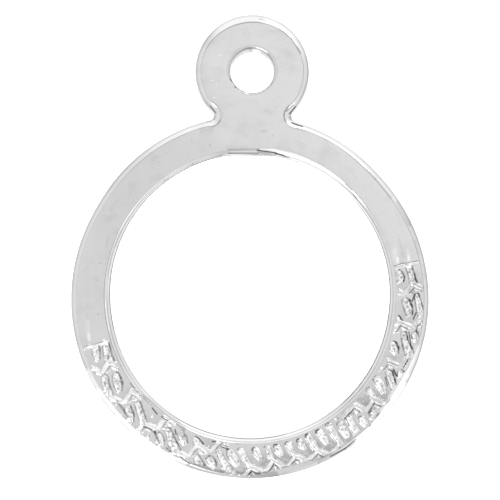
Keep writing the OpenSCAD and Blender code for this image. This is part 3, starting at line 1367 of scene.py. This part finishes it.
def silver_material():
    material = bpy.data.materials.new("polished_silver")
    material.use_nodes = True
    material.node_tree.nodes.clear()
    face = Face(material.node_tree)
    tools = face.tools

    top = face.attribute("raised").ramp(*top_starts)
    grainy_top = top * face.attribute("grain")
    pits = face.pattern("pit") * grainy_top
    matt = face.pattern("matt grain", tools.vector("ADD", face.place, grain_place)) * grainy_top
    line = wall_foot_shade(face)
    front = near_front(face)
    shade_and_marks = face.attribute("shade_and_marks") * (attribute_shade_levels[0] + attribute_shade_levels[1] * face.pattern("patch of film"))
    shade_and_marks = shade_and_marks + wall_foot_shade_depth * line
    shade_and_marks = least(shade_and_marks + hole_shade(face) + strokes(face, marks_and_painted_shade, mark_core) * front, shade_and_marks_limit)
    flare = strokes(face, flares, flare_core) * front

    level = surface_level(face, shade_and_marks, pits)
    rough_top = top_roughness - right_polish * face.across.ramp(*right_polish_starts)
    feeds = {
        "Base Color": tools.node("ShaderNodeCombineColor", {0: level, 1: level, 2: level}),
        "Metallic": 1 - matt_share * (matt + flare_gain * flare),
        "Roughness": clean_roughness + smudge_roughness * face.pattern("smudge") + rough_top * top,
        "Normal": surface_bump(face, grainy_top),
    }
    polished = tools.node("ShaderNodeBsdfPrincipled", feeds)
    # A black matt surface that stands in for shade low on the opening's wall
    feeds = {"Base Color": black_sheet_colour, "Roughness": 1.0, "Specular IOR Level": 0.0}
    dull = tools.node("ShaderNodeBsdfPrincipled", feeds)
    both = tools.node("ShaderNodeMixShader", {0: black_sheet_share * line, 1: polished, 2: dull})
    tools.node("ShaderNodeOutputMaterial", {"Surface": both})
    return material


silver = silver_material()
print("nodes of the silver:", len(silver.node_tree.nodes))

# %% Lift the ornament and keep the plain mesh
modifier = body.modifiers.new("ornament", "NODES")
modifier.node_group = lifting_tree
for item in lifting_tree.interface.items_tree:
    if item.in_out == "INPUT" and item.name in ornament_sizes:
        modifier[item.identifier] = ornament_sizes[item.name]
    if item.in_out == "INPUT" and item.name == "Material":
        modifier[item.identifier] = silver
graph = bpy.context.evaluated_depsgraph_get()
finished_mesh = bpy.data.meshes.new_from_object(
    body.evaluated_get(graph), preserve_all_data_layers=True, depsgraph=graph
)
body.modifiers.remove(modifier)
body.data = finished_mesh
places = np.empty(len(finished_mesh.vertices) * 3)
finished_mesh.vertices.foreach_get("co", places)
print(f"ornament rises to {places[2::3].max() / MM:.3f} mm, box allows {high.z / MM:.3f} mm")

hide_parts("ring_pendant")
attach(body, "root")

# %% [markdown]
# Floor and light
#
# The pendant lies on a plain white surface that is lit until it is pure white. The light comes from all
# round, but least from above, where the camera looks through: that is why the flats are grey and the
# roundings are white. Lamps alone would show as single glints in such a mirror, so most of the light is a
# sky of soft steps, and three wide lamps only lift the ornament.

# %% Floor
floor_half = 0.5
# The floor lies this far below the back, so that the two faces don't flicker.
floor_drop = 0.01 * MM
floor_colour = (0.9, 0.9, 0.9, 1.0)
floor_roughness = 0.7
floor_gloss = 0.2


def plain_floor():
    mesh = bpy.data.meshes.new("floor")
    corners = [(-1, -1), (1, -1), (1, 1), (-1, 1)]
    mesh.from_pydata([(floor_half * x, floor_half * y, -floor_drop) for x, y in corners], [], [(0, 1, 2, 3)])
    floor_object = bpy.data.objects.new("floor", mesh)
    material = bpy.data.materials.new("white_floor")
    material.use_nodes = True
    shader = material.node_tree.nodes["Principled BSDF"]
    shader.inputs["Base Color"].default_value = floor_colour
    shader.inputs["Roughness"].default_value = floor_roughness
    shader.inputs["Specular IOR Level"].default_value = floor_gloss
    mesh.materials.append(material)
    bpy.context.scene.collection.objects.link(floor_object)
    floor_object.visible_glossy = False
    return floor_object


print("floor:", plain_floor().dimensions.x, "m wide")

# %% Steps of the soft sky
sky_gain = 1.25
# Degrees from straight above, and how bright the sky is there
sky_stops = [
    (0, 0.92), (14, 0.9), (19, 0.36), (31, 0.36), (40, 1.0), (60, 1.02), (88, 0.97),
    (98, 0.7), (122, 0.7), (134, 0.95), (150, 1.02), (180, 1.02),
]
# Tilt towards the upper right, as the mean of a direction's x and y, and how bright the sky is there
corner_stops = [(-0.09, 0.98), (-0.03, 0.92), (0.02, 0.97), (0.06, 1.04), (0.1, 1.077)]
corner_reach = 0.15
# How bright the low sky is beside the sky overhead
low_sky_share = 0.96
# Shares of the half circle from straight above, between which each zone begins or ends
low_sky_starts = (0.14, 0.24)
beyond_ring_starts = (0.08, 0.11)
beyond_ring_ends = (0.17, 0.21)
below_starts = (0.5, 0.55)
below_ends = (0.68, 0.73)
# Azimuth and reach, in degrees, of a brighter side of a zone, and how much is added there
low_sky_glows = [(250, 28, 0.4), (62, 22, 0.18), (45, 24, 0.18), (315, 30, 0.08), (97, 40, 0.3)]
beyond_ring_glows = [(254, 30, 0.85), (290, 34, 0.3), (222, 24, 0.2)]
below_glows = [(290, 40, 0.25)]
# One side of the low sky is dimmer, and one side of the whole room has a least brightness.
dim_side = (276, 10, 0.2)
filled_side = (178, 60, 0.8)
print("steps of the sky:", len(sky_stops), "glows:", len(low_sky_glows + beyond_ring_glows + below_glows))


# %% Soft light from all round
def soft_world():
    world = bpy.data.worlds.new("soft_light")
    world.use_nodes = True
    world.node_tree.nodes.clear()
    tools = Wire(world.node_tree)
    x, y, z = tools.node("ShaderNodeTexCoord", pick="Generated").parts()
    off_zenith = z.math("ARCCOSINE", z) / math.pi
    side = tools.vector("NORMALIZE", tools.node("ShaderNodeCombineXYZ", {0: x, 1: y}))

    def steps(place, stops):
        stops = [(at, level / sky_gain) for at, level in stops]
        return tools.node("ShaderNodeValToRGB", {0: place}, stops=stops) * sky_gain

    def glow(azimuth, reach, gain):
        """Rises from 0 to its gain towards one side of the room."""
        turn = math.radians(azimuth)
        direction = (math.cos(turn), math.sin(turn), 0)
        towards = tools.vector("DOT_PRODUCT", side, direction, pick="Value")
        return gain * towards.ramp(math.cos(math.radians(reach)), math.cos(math.radians(reach / 3)))

    low_sky = off_zenith.ramp(*low_sky_starts)
    beyond_ring = off_zenith.ramp(*beyond_ring_starts) * (1 - off_zenith.ramp(*beyond_ring_ends))
    below = off_zenith.ramp(*below_starts) * (1 - off_zenith.ramp(*below_ends))
    level = steps(off_zenith, [(angle / 180, grey) for angle, grey in sky_stops])
    tilt = (x + y) / (4 * corner_reach) + 0.5
    overhead = steps(tilt, [((at + corner_reach) / (2 * corner_reach), grey) for at, grey in corner_stops])
    level = level * (low_sky * low_sky_share + (1 - low_sky) * overhead)
    level = most(level, glow(*filled_side)) * (1 - glow(*dim_side) * low_sky)
    for zone, glows in ((low_sky, low_sky_glows), (beyond_ring, beyond_ring_glows), (below, below_glows)):
        for row in glows:
            level = level + glow(*row) * zone
    background = tools.node("ShaderNodeBackground", {"Strength": level})
    tools.node("ShaderNodeOutputWorld", {"Surface": background})
    bpy.context.scene.world = world
    return world


print("nodes of the sky:", len(soft_world().node_tree.nodes))

# %% Lamps
lamp_distance = 0.4
lamp_elevation = math.radians(42)
# The overhead lamp shines in one direction, so its height is only where its sign hangs in the scene.
overhead_strength = 6.0
overhead_spread = math.radians(25)
overhead_height = 0.5


def soft_lamp(name, azimuth, size, radiance):
    """A round lamp of even radiance that faces the pendant."""
    data = bpy.data.lights.new(name, "AREA")
    data.shape = "DISK"
    data.size = size
    data.energy = radiance * math.pi * math.pi * (size / 2) ** 2
    lamp = bpy.data.objects.new(name, data)
    turn = math.radians(azimuth)
    flat = lamp_distance * math.cos(lamp_elevation)
    rise = lamp_distance * math.sin(lamp_elevation)
    lamp.location = (flat * math.cos(turn), flat * math.sin(turn), rise)
    lamp.rotation_euler = (math.pi / 2 - lamp_elevation, 0, turn + math.pi / 2)
    bpy.context.scene.collection.objects.link(lamp)


def overhead_lamp():
    """Light from above for the floor alone. The metal doesn't show it, where the camera looks through."""
    data = bpy.data.lights.new("overhead_lamp", "SUN")
    data.energy = overhead_strength
    data.angle = overhead_spread
    lamp = bpy.data.objects.new("overhead_lamp", data)
    lamp.location = (0, 0, overhead_height)
    lamp.visible_glossy = False
    bpy.context.scene.collection.objects.link(lamp)


overhead_lamp()
# Name, azimuth in degrees, width in metres, and radiance
lamp_rows = [
    ("lower_left_lamp", 240, 0.22, 3.0),
    ("lower_right_lamp", 315, 0.2, 0.4),
    ("upper_right_lamp", 63, 0.22, 1.8),
]
for lamp_row in lamp_rows:
    soft_lamp(*lamp_row)
bpy.context.scene.view_settings.view_transform = "Standard"
print("lamps:", len(lamp_rows) + 1)
